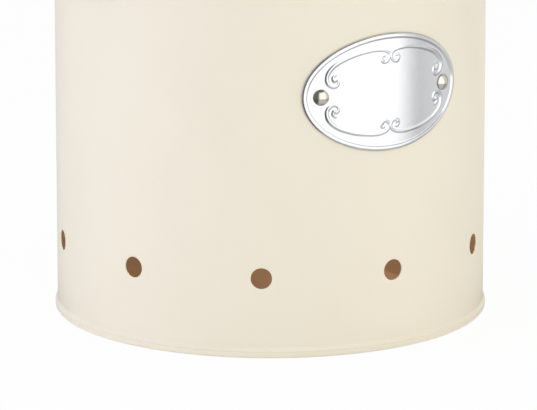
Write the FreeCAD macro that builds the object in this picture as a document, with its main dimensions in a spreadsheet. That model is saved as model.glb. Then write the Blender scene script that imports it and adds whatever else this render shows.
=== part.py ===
import FreeCAD, Part
import math
import os
import re

import Sketcher

# A round vegetable tin of enamelled sheet steel. The rolled body, with vent holes near its foot, stands in the
# rolled rim of a pressed base pan. A slip-over lid with a turned knob covers it. An oval label is held on the
# front by two domed rivets, and a wire drop ring hangs in a folded, riveted clip on each side.
# Millimetres, +Z up. The origin is the centre of the foot, the label faces -Y, the rings hang at -X and +X.

SIZES = [
    # body: a sheet rolled into a tube and locked along one upright seam, its top edge curled inwards
    ("body_radius", 120.0, "outside radius of the wall"),
    ("body_height", 256.0, "floor to the top of the rim curl"),
    ("body_wall", 0.6, "sheet thickness of the wall"),
    ("rim_curl_radius", 1.9, "outside radius of the inward curl at the mouth"),
    ("vent_count", 10, "vent holes in the row"),
    ("vent_diameter", 11.6, "one punched vent hole"),
    ("vent_height", 44.3, "floor to the centre of the vent row"),
    ("vent_turn", 1.8, "degrees from the label round to the first vent"),
    ("lock_seam_turn", 163.8, "degrees from the label round to the upright seam, between two vents"),
    ("lock_seam_width", 6.0, "folded strip of the upright seam"),
    ("lock_seam_depth", 0.9, "how far the folded strip stands into the tin"),
    ("lock_seam_inset", 9.0, "plain wall left above and below the strip"),
    # base pan: a pressed disc whose rim is rolled round the lower edge of the wall
    ("base_wall", 0.6, "sheet thickness of the pan"),
    ("base_recess", 5.0, "floor to the underside of the panel"),
    ("base_corner", 1.2, "inside radius where the panel turns down"),
    ("crimp_gap", 0.1, "play between the wall and the rolled rim"),
    ("crimp_thickness", 1.2, "double-folded outer side of the rolled rim"),
    ("crimp_height", 4.4, "floor to the top of the rolled rim"),
    ("crimp_round", 0.9, "rounding of the rolled rim"),
    ("foot_round", 0.4, "rounding of the inner edge of the foot"),
    # lid: a pressed cap with a flat ledge, a step and a low dome, its skirt curled outwards
    ("lid_wall", 0.6, "sheet thickness of the lid"),
    ("lid_clearance", 0.4, "play between the skirt and the body"),
    ("lid_seat_gap", 0.25, "ledge to the rim curl when the lid is on"),
    ("lid_skirt_depth", 16.0, "ledge down to the end of the skirt"),
    ("lid_curl_radius", 1.5, "outside radius of the skirt's curl"),
    ("lid_ledge_width", 17.0, "outside of the skirt in to the foot of the step"),
    ("lid_step_width", 6.0, "plan width of the step"),
    ("lid_step_height", 5.0, "rise of the step"),
    ("lid_dome_rise", 6.0, "rise of the dome above the step"),
    # knob and the screw and washer that hold it from inside the lid
    ("knob_foot_radius", 9.0, "foot of the knob on the lid"),
    ("knob_foot_height", 2.5, "upright edge of the foot"),
    ("knob_waist_radius", 6.5, "hollow curve of the waist"),
    ("knob_neck_height", 11.0, "lid to the underside of the head"),
    ("knob_neck_radius", 12.0, "where the waist meets the head"),
    ("knob_head_radius", 17.0, "head of the knob"),
    ("knob_edge_round", 2.0, "rounding under the edge of the head"),
    ("knob_crown_rise", 10.0, "crown of the head above its edge"),
    ("knob_seat_gap", 0.06, "play under the flat seats on the dome"),
    ("screw_radius", 2.0, "shank of the knob screw"),
    ("screw_clearance", 0.1, "play round the shank"),
    ("screw_reach", 12.0, "length of shank inside the knob"),
    ("screw_tip_gap", 1.0, "room past the end of the shank"),
    ("screw_head_radius", 4.0, "pan head of the screw"),
    ("screw_head_height", 2.4, "height of the pan head"),
    ("screw_head_round", 1.4, "rounding of the pan head"),
    ("washer_radius", 8.0, "washer under the lid"),
    ("washer_thickness", 1.0, "thickness of the washer"),
    # label plate: an oval stamping bent to the wall, with a raised border
    ("plate_width", 98.0, "chord across the oval, from the front"),
    ("plate_height", 64.4, "height of the oval"),
    ("plate_gauge", 0.5, "thickness of the flat panel"),
    ("plate_border_width", 3.4, "raised border round the oval"),
    ("plate_border_rise", 0.8, "border above the panel"),
    ("plate_gap", 0.05, "play between the plate and the wall"),
    ("plate_rise", 15.4, "centre of the label above the middle of the body"),
    # label rivets: domed heads, with the tails closed inside the tin
    ("label_rivet_inset", 10.1, "end of the oval in to each rivet, from the front"),
    ("label_rivet_head_radius", 4.4, "dome of a label rivet"),
    ("label_rivet_head_height", 2.6, "height of that dome"),
    ("label_rivet_shank_radius", 2.0, "shank of a label rivet"),
    ("label_rivet_tail_radius", 3.2, "closed tail of a label rivet"),
    ("label_rivet_tail_height", 1.2, "thickness of that tail"),
    # drop rings: closed loops of bent wire, hanging on their straight top bar
    ("ring_wire_radius", 2.5, "wire of a ring"),
    ("ring_width", 66.0, "between the centre lines of the legs"),
    ("ring_drop", 36.0, "top bar to bottom bar, between centre lines"),
    ("ring_top_bend", 6.0, "bend at the top corners, on the centre line"),
    ("ring_bottom_bend", 15.0, "bend at the bottom corners, on the centre line"),
    ("ring_pivot_drop", 8.85, "end of the lid's skirt down to the centre of the top bar"),
    # clips: a strap folded round the top bar, both ends riveted to the wall below it
    ("clip_gauge", 1.0, "thickness of the strap"),
    ("clip_width", 22.0, "width of the strap"),
    ("clip_length", 22.0, "centre of the bar to the end of the strap"),
    ("clip_corner", 4.0, "rounded corners of the strap's end"),
    ("clip_gap", 0.05, "play between the strap and the wall"),
    ("pivot_clearance", 0.08, "running play of the bar in the strap"),
    ("clip_rivet_first", 9.5, "centre of the bar to the upper rivet"),
    ("clip_rivet_spacing", 7.5, "upper rivet to lower rivet"),
    ("clip_rivet_head_radius", 3.0, "dome of a clip rivet"),
    ("clip_rivet_head_height", 1.7, "height of that dome"),
    ("clip_rivet_shank_radius", 1.6, "shank of a clip rivet"),
    ("clip_rivet_tail_radius", 2.6, "closed tail of a clip rivet"),
    ("clip_rivet_tail_height", 1.0, "thickness of that tail"),
    # rivets of both kinds
    ("rivet_hole_clearance", 0.1, "play round a shank in its holes"),
    ("rivet_seat_gap", 0.1, "play under the flat faces of heads and tails on the round wall"),
    # every cut runs this far past what it cuts
    ("overrun", 5.0, "length of a cutting tool past the piece"),
]
NAMES = {name for name, value, meaning in SIZES}

doc = FreeCAD.newDocument("vegetable_tin")
sheet = doc.addObject("Spreadsheet::Sheet", "sizes")
for row, (name, value, meaning) in enumerate(SIZES, 1):
    sheet.set(f"A{row}", meaning)
    sheet.set(f"B{row}", str(value))
    sheet.setAlias(f"B{row}", name)
doc.recompute()


def bound(formula):
    """The formula with every size written as a cell of the sheet."""
    return re.sub(r"[a-z_]+", lambda word: f"sizes.{word[0]}" if word[0] in NAMES else word[0], formula)


def size_of(formula):
    """What the formula comes to with the sheet's present sizes."""
    result = sheet.evalExpression(bound(formula))
    return float(getattr(result, "Value", result))


def bind(thing, **formulas):
    """Tie properties of a document object to formulas of the sheet; a double underscore stands for a dot."""
    for key, formula in formulas.items():
        thing.setExpression(key.replace("__", "."), bound(formula))


def new_body(label):
    body = doc.addObject("PartDesign::Body", label)
    body.Label = label
    return body


def origin_feature(body, role):
    return next(feature for feature in body.Origin.OriginFeatures if feature.Role == role)


def new_sketch(body, name, plane):
    sketch = body.newObject("Sketcher::SketchObject", name)
    sketch.AttachmentSupport = (origin_feature(body, plane), [""])
    sketch.MapMode = "FlatFace"
    return sketch


def hold(sketch, kind, geometry, formula):
    """A dimension of the sketch that follows a formula."""
    number = sketch.addConstraint(Sketcher.Constraint(kind, *geometry, size_of(formula)))
    sketch.setExpression(f"Constraints[{number}]", bound(formula))


def pin_point(sketch, edge, end, across, up):
    """Hold a point at two formulas from the sketch's origin; a formula of 0 puts it on the axis."""
    for kind, axis, formula in (("DistanceX", -2, across), ("DistanceY", -1, up)):
        if formula == "0":
            sketch.addConstraint(Sketcher.Constraint("PointOnObject", edge, end, axis))
        else:
            hold(sketch, kind, (-1, 1, edge, end), formula)


def arc_between(start, stop, radius, turn):
    """The arc of under half a circle from start to stop; turn is 1 anticlockwise and -1 clockwise."""
    chord = stop - start
    rise = math.sqrt(max(radius ** 2 - chord.Length ** 2 / 4, 0))
    side = FreeCAD.Vector(-chord.y, chord.x, 0).normalize()
    centre = (start + stop) * 0.5 + side * (rise * turn)
    first, last = (start, stop) if turn > 0 else (stop, start)
    angles = [math.atan2(point.y - centre.y, point.x - centre.x) for point in (first, last)]
    if angles[1] < angles[0]:
        angles[1] += 2 * math.pi
    return Part.ArcOfCircle(Part.Circle(centre, FreeCAD.Vector(0, 0, 1), radius), *angles)


def outline(body, name, corners, plane="XZ_Plane"):
    """A closed sketch through corners of two formulas each, across and up.

    A corner that adds a radius and a turn is followed by that arc, and any other corner by a line.
    """
    sketch = new_sketch(body, name, plane)
    points = [FreeCAD.Vector(size_of(corner[0]), size_of(corner[1]), 0) for corner in corners]
    ends = []
    for corner, start, stop in zip(corners, points, points[1:] + points[:1]):
        if len(corner) == 2:
            sketch.addGeometry(Part.LineSegment(start, stop), False)
            ends.append((1, 2))
        else:
            sketch.addGeometry(arc_between(start, stop, size_of(corner[2]), corner[3]), False)
            ends.append((1, 2) if corner[3] > 0 else (2, 1))
    for edge, corner in enumerate(corners):
        after = (edge + 1) % len(corners)
        sketch.addConstraint(Sketcher.Constraint("Coincident", edge, ends[edge][1], after, ends[after][0]))
        pin_point(sketch, edge, ends[edge][0], corner[0], corner[1])
        if len(corner) > 2:
            hold(sketch, "Radius", (edge,), corner[2])
    return sketch


def turned(body, corners):
    """A piece turned about its own upright axis from half its section."""
    section = outline(body, f"{body.Name}_section", corners)
    turning = body.newObject("PartDesign::Revolution", f"{body.Name}_turning")
    turning.Profile = section
    turning.ReferenceAxis = (section, ["V_Axis"])
    turning.Angle = 360
    return turning


def circle_sketch(body, name, plane, spots):
    """Circles of a centre across, a centre up and a radius, each a formula."""
    sketch = new_sketch(body, name, plane)
    for number, (across, up, radius) in enumerate(spots):
        centre = FreeCAD.Vector(size_of(across), size_of(up), 0)
        sketch.addGeometry(Part.Circle(centre, FreeCAD.Vector(0, 0, 1), size_of(radius)), False)
        pin_point(sketch, number, 3, across, up)
        hold(sketch, "Radius", (number,), radius)
    return sketch


def front_hole(body, name, turn, height, radius):
    """A sketch of one hole in the front wall, turned about the tin's axis by an angle."""
    sketch = circle_sketch(body, name, "XZ_Plane", [("0", height, radius)])
    sketch.AttachmentOffset = FreeCAD.Placement(
        FreeCAD.Vector(0, 0, 0), FreeCAD.Rotation(FreeCAD.Vector(0, 1, 0), size_of(turn))
    )
    bind(sketch, AttachmentOffset__Rotation__Angle=turn)
    return sketch


def pierce(body, sketch, both_ways=False):
    """Holes through the wall that lies in front of the sketch, or on both sides of it."""
    pocket = body.newObject("PartDesign::Pocket", f"{sketch.Name}_cut")
    pocket.Profile = sketch
    pocket.Type = "ThroughAll"
    if both_ways:
        pocket.Midplane = True
    else:
        pocket.Reversed = True
    return pocket


# Places that several pieces share
BODY_INSIDE = "(body_radius - body_wall)"
BODY_FOOT = "(base_wall + crimp_gap)"
LID_INSIDE = "(body_radius + lid_clearance)"
LID_OUTSIDE = f"({LID_INSIDE} + lid_wall)"
LID_LEDGE = "(body_height + lid_seat_gap + lid_wall)"
LID_STEP_TOP = f"({LID_LEDGE} + lid_step_height)"
LID_CROWN = f"({LID_STEP_TOP} + lid_dome_rise)"
SCREW_HOLE = "(screw_radius + screw_clearance)"
PLATE_FACE = "(body_radius + plate_gap + plate_gauge)"
PLATE_HEIGHT = "(body_height / 2 + plate_rise)"
RING_HEIGHT = f"({LID_LEDGE} - lid_skirt_depth - ring_pivot_drop)"
PIVOT_REACH = "(body_radius + clip_gap + clip_gauge + pivot_clearance + ring_wire_radius)"
CLIP_FACE = "(body_radius + clip_gap + 2 * clip_gauge)"
LABEL_HOLE = "(label_rivet_shank_radius + rivet_hole_clearance)"
CLIP_HOLE = "(clip_rivet_shank_radius + rivet_hole_clearance)"
CLIP_RIVET_HEIGHTS = {
    "upper": f"({RING_HEIGHT} - clip_rivet_first)",
    "lower": f"({RING_HEIGHT} - clip_rivet_first - clip_rivet_spacing)",
}
SIDES = {"left": 180.0, "right": 0.0}
LABEL_TURN = "asin((plate_width / 2 - label_rivet_inset) / body_radius)"
LABEL_ENDS = {"left": f"-{LABEL_TURN}", "right": LABEL_TURN}


def make_body_shell():
    """The rolled wall with its curled mouth, its vents, its rivet holes and the fold of its upright seam."""
    body = new_body("body_shell")
    curl_axis = "body_radius - rim_curl_radius"
    curl_tip = "body_radius - 2 * rim_curl_radius"
    curl_height = "body_height - rim_curl_radius"
    curl_inside = "rim_curl_radius - body_wall"
    turned(body, [
        ("body_radius", BODY_FOOT),
        ("body_radius", curl_height, "rim_curl_radius", 1),
        (curl_axis, "body_height", "rim_curl_radius", 1),
        (curl_tip, curl_height, "rim_curl_radius", 1),
        (curl_axis, "body_height - 2 * rim_curl_radius"),
        (curl_axis, "body_height - 2 * rim_curl_radius + body_wall", curl_inside, -1),
        (f"{curl_tip} + body_wall", curl_height, curl_inside, -1),
        (curl_axis, "body_height - body_wall", curl_inside, -1),
        (BODY_INSIDE, curl_height),
        (BODY_INSIDE, BODY_FOOT),
    ])
    fold = outline(body, "seam_fold", [
        ("-lock_seam_width / 2", f"-{BODY_INSIDE} - body_wall / 2"),
        ("lock_seam_width / 2", f"-{BODY_INSIDE} - body_wall / 2"),
        ("lock_seam_width / 2", f"-{BODY_INSIDE} + lock_seam_depth"),
        ("-lock_seam_width / 2", f"-{BODY_INSIDE} + lock_seam_depth"),
    ], plane="XY_Plane")
    fold.AttachmentOffset = FreeCAD.Placement(
        FreeCAD.Vector(0, 0, size_of("lock_seam_inset")),
        FreeCAD.Rotation(FreeCAD.Vector(0, 0, 1), size_of("lock_seam_turn")),
    )
    bind(fold, AttachmentOffset__Base__z="lock_seam_inset", AttachmentOffset__Rotation__Angle="lock_seam_turn")
    strip = body.newObject("PartDesign::Pad", "seam_strip")
    strip.Profile = fold
    bind(strip, Length="body_height - 2 * lock_seam_inset")
    for end, turn in LABEL_ENDS.items():
        pierce(body, front_hole(body, f"label_hole_{end}", turn, PLATE_HEIGHT, LABEL_HOLE))
    clip_spots = [("0", height, CLIP_HOLE) for height in CLIP_RIVET_HEIGHTS.values()]
    pierce(body, circle_sketch(body, "clip_holes", "YZ_Plane", clip_spots), both_ways=True)
    vent = pierce(body, front_hole(body, "vent", "vent_turn", "vent_height", "vent_diameter / 2"))
    vents = body.newObject("PartDesign::PolarPattern", "vents")
    vents.Originals = [vent]
    vents.Axis = (origin_feature(body, "Z_Axis"), [""])
    vents.Angle = 360
    bind(vents, Occurrences="vent_count")
    body.Tip = vents
    return body


def make_base_pan():
    """The pressed base: a raised panel, a foot to stand on, and a rim that holds the wall's lower edge."""
    body = new_body("base_pan")
    channel_in = f"({BODY_INSIDE} - crimp_gap)"
    channel_out = "(body_radius + crimp_gap)"
    rim_out = f"({channel_out} + crimp_thickness)"
    foot_in = f"({channel_in} - base_wall)"
    panel_out = f"({foot_in} - base_corner)"
    turned(body, [
        ("0", "base_recess"),
        (panel_out, "base_recess", "base_corner", -1),
        (foot_in, "base_recess - base_corner"),
        (foot_in, "foot_round", "foot_round", 1),
        (f"{foot_in} + foot_round", "0"),
        (f"{rim_out} - crimp_round", "0", "crimp_round", 1),
        (rim_out, "crimp_round"),
        (rim_out, "crimp_height - crimp_round", "crimp_round", 1),
        (f"{rim_out} - crimp_round", "crimp_height"),
        (channel_out, "crimp_height"),
        (channel_out, "base_wall"),
        (channel_in, "base_wall"),
        (channel_in, "base_recess - base_corner", "base_corner + base_wall", 1),
        (panel_out, "base_recess + base_wall"),
        ("0", "base_recess + base_wall"),
    ])
    return body


def make_lid_shell():
    """The pressed lid, from the crown down over the ledge and the skirt to its outward curl, and back."""
    body = new_body("lid_shell")
    shoulder = "(rim_curl_radius + lid_clearance + lid_wall)"
    ledge_out = f"({LID_OUTSIDE} - {shoulder})"
    step_out = f"({LID_OUTSIDE} - lid_ledge_width)"
    step_in = f"({step_out} - lid_step_width)"
    step_round = "((lid_step_width^2 + lid_step_height^2) / (4 * lid_step_height))"
    step_share = f"(({step_round} + lid_wall) / (2 * {step_round}))"
    dome = f"(({step_in}^2 + lid_dome_rise^2) / (2 * lid_dome_rise))"
    curl_height = f"({LID_LEDGE} - lid_skirt_depth + lid_curl_radius)"
    curl_axis = f"({LID_INSIDE} + lid_curl_radius)"
    curl_tip = f"({LID_INSIDE} + 2 * lid_curl_radius)"
    curl_inside = "lid_curl_radius - lid_wall"
    under_across = f"{step_out} - lid_step_width * {step_share}"
    under_up = f"{LID_LEDGE} + {step_round} + {step_share} * (lid_step_height - 2 * {step_round})"
    turned(body, [
        ("0", f"{LID_CROWN} - lid_wall", dome, -1),
        (step_in, f"{LID_STEP_TOP} - lid_wall", f"{step_round} - lid_wall", -1),
        (under_across, under_up, f"{step_round} + lid_wall", 1),
        (step_out, f"{LID_LEDGE} - lid_wall"),
        (ledge_out, f"{LID_LEDGE} - lid_wall", f"{shoulder} - lid_wall", -1),
        (LID_INSIDE, f"{LID_LEDGE} - {shoulder}"),
        (LID_INSIDE, curl_height, "lid_curl_radius", 1),
        (curl_axis, f"{curl_height} - lid_curl_radius", "lid_curl_radius", 1),
        (curl_tip, curl_height, "lid_curl_radius", 1),
        (curl_axis, f"{curl_height} + lid_curl_radius"),
        (curl_axis, f"{curl_height} + {curl_inside}", curl_inside, -1),
        (f"{curl_tip} - lid_wall", curl_height, curl_inside, -1),
        (curl_axis, f"{curl_height} - lid_curl_radius + lid_wall", curl_inside, -1),
        (LID_OUTSIDE, curl_height),
        (LID_OUTSIDE, f"{LID_LEDGE} - {shoulder}", shoulder, 1),
        (ledge_out, LID_LEDGE),
        (step_out, LID_LEDGE, step_round, -1),
        (f"{step_out} - lid_step_width / 2", f"{LID_LEDGE} + lid_step_height / 2", step_round, 1),
        (step_in, LID_STEP_TOP, dome, 1),
        ("0", LID_CROWN),
    ])
    body.Tip = pierce(body, circle_sketch(body, "screw_hole", "XY_Plane", [("0", "0", SCREW_HOLE)]))
    return body


def make_knob():
    """The turned knob, with a tapped hole up its foot, and the screw and washer that pull it onto the lid."""
    seat = f"({LID_CROWN} + knob_seat_gap)"
    edge = f"({seat} + knob_neck_height + knob_edge_round)"
    crown = "((knob_head_radius^2 + knob_crown_rise^2) / (2 * knob_crown_rise))"
    knob = new_body("lid_knob")
    turned(knob, [
        (SCREW_HOLE, seat),
        ("knob_foot_radius", seat),
        ("knob_foot_radius", f"{seat} + knob_foot_height", "knob_waist_radius", -1),
        ("knob_neck_radius", f"{seat} + knob_neck_height"),
        ("knob_head_radius - knob_edge_round", f"{seat} + knob_neck_height", "knob_edge_round", 1),
        ("knob_head_radius", edge, crown, 1),
        ("0", f"{edge} + knob_crown_rise"),
        ("0", f"{seat} + screw_reach + screw_tip_gap"),
        (SCREW_HOLE, f"{seat} + screw_reach + screw_tip_gap"),
    ])
    washer_top = f"({LID_CROWN} - lid_wall - knob_seat_gap)"
    washer_under = f"({washer_top} - washer_thickness)"
    washer = new_body("knob_washer")
    turned(washer, [
        (SCREW_HOLE, washer_under),
        ("washer_radius", washer_under),
        ("washer_radius", washer_top),
        (SCREW_HOLE, washer_top),
    ])
    screw = new_body("knob_screw")
    turned(screw, [
        ("0", f"{washer_under} - screw_head_height"),
        ("screw_head_radius - screw_head_round", f"{washer_under} - screw_head_height", "screw_head_round", 1),
        ("screw_head_radius", f"{washer_under} - screw_head_height + screw_head_round"),
        ("screw_head_radius", washer_under),
        ("screw_radius", washer_under),
        ("screw_radius", f"{seat} + screw_reach"),
        ("0", f"{seat} + screw_reach"),
    ])
    return [knob, washer, screw]


def tube_blank(name, radius, low, high):
    """An upright cylinder about the tin's axis, for shaping what lies on its round wall."""
    blank = doc.addObject("Part::Cylinder", name)
    bind(blank, Radius=radius, Height=f"({high}) - ({low})", Placement__Base__z=low)
    return blank


def joined(kind, name, *pieces):
    """A boolean of two pieces, or of one piece and the tools that cut it."""
    result = doc.addObject(kind, name)
    result.Base, result.Tool = pieces
    result.Refine = True
    return result


def oval_block(name, width, height):
    """An oval prism from the tin's axis out past its front wall, level with the label."""
    oval = doc.addObject("Part::Ellipse", f"{name}_oval")
    bind(oval, MajorRadius=f"{width} / 2", MinorRadius=f"{height} / 2", Placement__Base__z=PLATE_HEIGHT)
    oval.Placement = FreeCAD.Placement(
        FreeCAD.Vector(0, 0, size_of(PLATE_HEIGHT)), FreeCAD.Rotation(FreeCAD.Vector(1, 0, 0), 90)
    )
    block = doc.addObject("Part::Extrusion", name)
    block.Base = oval
    block.DirMode = "Custom"
    block.Dir = FreeCAD.Vector(0, -1, 0)
    block.Solid = True
    bind(block, LengthFwd=f"{PLATE_FACE} + plate_border_rise + overrun")
    return block


def radial_drill(name, radius, turn, height):
    """A cutting cylinder from the tin's axis out through the wall, turned from the front by an angle."""
    drill = doc.addObject("Part::Cylinder", name)
    drill.Placement = FreeCAD.Placement(
        FreeCAD.Vector(0, 0, size_of(height)),
        FreeCAD.Rotation(FreeCAD.Vector(0, 0, 1), size_of(turn)) * FreeCAD.Rotation(FreeCAD.Vector(1, 0, 0), 90),
    )
    bind(drill, Radius=radius, Height=f"{PLATE_FACE} + plate_border_rise + overrun", Placement__Base__z=height)
    return drill


def make_label_plate():
    """The oval stamping: a thin panel bent to the wall, a raised border round it, and two rivet holes."""
    low = f"{PLATE_HEIGHT} - plate_height / 2 - overrun"
    high = f"{PLATE_HEIGHT} + plate_height / 2 + overrun"
    core = tube_blank("plate_core", "body_radius + plate_gap", low, high)
    panel_blank = tube_blank("panel_blank", PLATE_FACE, low, high)
    border_blank = tube_blank("border_blank", f"{PLATE_FACE} + plate_border_rise", low, high)
    inner = oval_block("oval_inside", "(plate_width - 2 * plate_border_width)",
                       "(plate_height - 2 * plate_border_width)")
    outer = oval_block("oval_outside", "plate_width", "plate_height")
    panel = joined("Part::Common", "panel_cap", panel_blank, outer)
    border = joined("Part::Cut", "border_cap", joined("Part::Common", "border_slab", border_blank, outer), inner)
    plate = joined("Part::Cut", "plate_shell", joined("Part::Fuse", "plate_cap", panel, border), core)
    for end, turn in LABEL_ENDS.items():
        drill = radial_drill(f"plate_drill_{end}", LABEL_HOLE, turn, PLATE_HEIGHT)
        plate = joined("Part::Cut", f"plate_drilled_{end}", plate, drill)
    plate.Label = "label_plate"
    return plate


def make_rivet(label, kind, face, outward, height):
    """A closed rivet: tail inside the wall, shank through it, and a domed head on the outer face.

    Kind names its own sizes, face is the distance from the tin's axis to the seat of the head, and outward is
    the direction of its axis.
    """
    tail, dome = f"{kind}_tail_height", f"{kind}_head_height"
    shank = f"({face} - {BODY_INSIDE} + 2 * rivet_seat_gap)"
    seat = f"({tail} + {shank})"
    crown = f"(({kind}_head_radius^2 + {dome}^2) / (2 * {dome}))"
    rivet = new_body(label)
    turned(rivet, [
        ("0", "0"),
        (f"{kind}_tail_radius", "0"),
        (f"{kind}_tail_radius", tail),
        (f"{kind}_shank_radius", tail),
        (f"{kind}_shank_radius", seat),
        (f"{kind}_head_radius", seat, crown, 1),
        ("0", f"{seat} + {dome}"),
    ])
    start = size_of(f"{BODY_INSIDE} - rivet_seat_gap - {tail}")
    rivet.Placement = FreeCAD.Placement(
        outward * start + FreeCAD.Vector(0, 0, size_of(height)),
        FreeCAD.Rotation(FreeCAD.Vector(0, 0, 1), outward),
    )
    return rivet


def make_label_rivets():
    rivets = []
    for end, turn in LABEL_ENDS.items():
        outward = FreeCAD.Rotation(FreeCAD.Vector(0, 0, 1), size_of(turn)).multVec(FreeCAD.Vector(0, -1, 0))
        rivets.append(make_rivet(f"label_rivet_{end}", "label_rivet", PLATE_FACE, outward, PLATE_HEIGHT))
    return rivets


def make_ring(side, turn):
    """A drop ring: wire bent round a closed path with tight top corners and wide bottom ones."""
    ring = new_body(f"{side}_ring")
    half = "ring_width / 2"
    path = outline(ring, f"{side}_ring_path", [
        (f"-{half} + ring_top_bend", "0", "ring_top_bend", 1),
        (f"-{half}", "-ring_top_bend"),
        (f"-{half}", "-ring_drop + ring_bottom_bend", "ring_bottom_bend", 1),
        (f"-{half} + ring_bottom_bend", "-ring_drop"),
        (f"{half} - ring_bottom_bend", "-ring_drop", "ring_bottom_bend", 1),
        (half, "-ring_drop + ring_bottom_bend"),
        (half, "-ring_top_bend", "ring_top_bend", 1),
        (f"{half} - ring_top_bend", "0"),
    ], plane="YZ_Plane")
    wire = circle_sketch(ring, f"{side}_ring_wire", "XZ_Plane", [("0", "0", "ring_wire_radius")])
    bend = ring.newObject("PartDesign::AdditivePipe", f"{side}_ring_bend")
    bend.Profile = wire
    bend.Spine = (path, [f"Edge{number}" for number in range(1, path.GeometryCount + 1)])
    swing = FreeCAD.Rotation(FreeCAD.Vector(0, 0, 1), turn)
    reach = FreeCAD.Vector(size_of(PIVOT_REACH), 0, size_of(RING_HEIGHT))
    ring.Placement = FreeCAD.Placement(swing.multVec(reach), swing)
    return ring


def make_clip(side, turn):
    """A clip: a strap folded round the ring's top bar, its two ends laid together on the wall below."""
    low = f"{RING_HEIGHT} - clip_length - overrun"
    skin = tube_blank(f"{side}_strap_skin", CLIP_FACE, low, RING_HEIGHT)
    core = tube_blank(f"{side}_strap_core", "body_radius + clip_gap", low, RING_HEIGHT)
    tongue = doc.addObject("Part::Box", f"{side}_strap_tongue")
    bind(tongue, Length="2 * clip_gauge + overrun + body_wall", Width="clip_width", Height="clip_length",
         Placement__Base__x="body_radius - overrun", Placement__Base__y="-clip_width / 2",
         Placement__Base__z=f"{RING_HEIGHT} - clip_length")
    rounded = doc.addObject("Part::Fillet", f"{side}_strap_end")
    rounded.Base = tongue
    doc.recompute()
    foot = size_of(f"{RING_HEIGHT} - clip_length")
    rounded.Edges = [
        (number, size_of("clip_corner"), size_of("clip_corner"))
        for number, edge in enumerate(tongue.Shape.Edges, 1)
        if all(abs(vertex.Z - foot) < Part.Precision.confusion() for vertex in edge.Vertexes)
        and abs(edge.tangentAt(edge.FirstParameter).x) > 0.5
    ]
    strap = joined("Part::Cut", f"{side}_strap", joined("Part::Common", f"{side}_strap_slab", skin, rounded), core)

    def across(name, radius, length):
        """A cylinder along the ring's top bar."""
        rod = doc.addObject("Part::Cylinder", f"{side}_{name}")
        rod.Placement = FreeCAD.Placement(
            FreeCAD.Vector(size_of(PIVOT_REACH), size_of(f"-{length} / 2"), size_of(RING_HEIGHT)),
            FreeCAD.Rotation(FreeCAD.Vector(1, 0, 0), -90),
        )
        bind(rod, Radius=radius, Height=length, Placement__Base__x=PIVOT_REACH,
             Placement__Base__y=f"-{length} / 2", Placement__Base__z=RING_HEIGHT)
        return rod

    bore = "ring_wire_radius + pivot_clearance"
    knuckle = across("knuckle", f"{bore} + clip_gauge", "clip_width")
    clip = joined("Part::Fuse", f"{side}_folded_strap", strap, knuckle)
    clip = joined("Part::Cut", f"{side}_strap_bored", clip, across("bore", bore, "(clip_width + 2 * overrun)"))
    for place, height in CLIP_RIVET_HEIGHTS.items():
        drill = radial_drill(f"{side}_clip_drill_{place}", CLIP_HOLE, "90", height)
        clip = joined("Part::Cut", f"{side}_clip_drilled_{place}", clip, drill)
    clip.Label = f"{side}_clip"
    clip.Placement = FreeCAD.Placement(
        FreeCAD.Vector(0, 0, 0), FreeCAD.Rotation(FreeCAD.Vector(0, 0, 1), turn)
    )
    return clip


def make_handles():
    """The ring, the clip and the two clip rivets of each side."""
    pieces = []
    for side, turn in SIDES.items():
        outward = FreeCAD.Rotation(FreeCAD.Vector(0, 0, 1), turn).multVec(FreeCAD.Vector(1, 0, 0))
        pieces += [make_ring(side, turn), make_clip(side, turn)]
        for place, height in CLIP_RIVET_HEIGHTS.items():
            pieces.append(make_rivet(f"{side}_clip_rivet_{place}", "clip_rivet", CLIP_FACE, outward, height))
    return pieces


pieces = [make_body_shell(), make_base_pan(), make_lid_shell(), *make_knob()]
pieces += [make_label_plate(), *make_label_rivets(), *make_handles()]
doc.recompute()

for thing in doc.Objects:
    if {"Invalid", "Error"} & set(thing.State):
        raise RuntimeError(f"{thing.Label} failed: {thing.State}")
for piece in pieces:
    if piece.Shape.isNull() or not piece.Shape.isValid() or not piece.Shape.Solids:
        raise RuntimeError(f"{piece.Label} has no sound solid")

os.makedirs("parts", exist_ok=True)
for piece in pieces:
    piece.Shape.exportStep(f"parts/{piece.Label}.step")
    print(f"{piece.Label}: {len(piece.Shape.Solids)} solid, {piece.Shape.Volume:.1f} mm3, {piece.Shape.BoundBox}")
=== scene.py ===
import math

import bmesh
import bpy
import numpy as np
from mathutils import Matrix, Vector


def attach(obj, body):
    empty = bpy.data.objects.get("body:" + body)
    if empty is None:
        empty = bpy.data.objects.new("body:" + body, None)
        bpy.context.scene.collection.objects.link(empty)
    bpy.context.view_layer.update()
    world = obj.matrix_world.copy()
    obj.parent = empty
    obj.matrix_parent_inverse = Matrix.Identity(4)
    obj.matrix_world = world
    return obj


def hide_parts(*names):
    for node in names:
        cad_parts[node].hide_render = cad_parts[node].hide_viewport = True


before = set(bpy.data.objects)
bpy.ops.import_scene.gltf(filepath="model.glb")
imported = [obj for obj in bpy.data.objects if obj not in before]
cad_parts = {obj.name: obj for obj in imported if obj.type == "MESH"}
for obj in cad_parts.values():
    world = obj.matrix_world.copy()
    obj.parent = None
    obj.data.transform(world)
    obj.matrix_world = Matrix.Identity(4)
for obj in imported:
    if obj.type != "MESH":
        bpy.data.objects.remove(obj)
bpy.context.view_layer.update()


# The wall
# One sheet of thin steel rolled into a tube and locked along an upright seam at the back. Ten round vents
# are punched in a row above the foot, and the mouth is curled inwards. Cream powder coat covers the
# outside, and a baked brown lacquer keeps the inside from rusting.

def linear(code):
    """A linear RGBA colour from an sRGB hex value."""
    parts = [int(code[digit:digit + 2], 16) / 255 for digit in (1, 3, 5)]
    return [part / 12.92 if part < 0.04045 else ((part + 0.055) / 1.055) ** 2.4 for part in parts] + [1.0]


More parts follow.
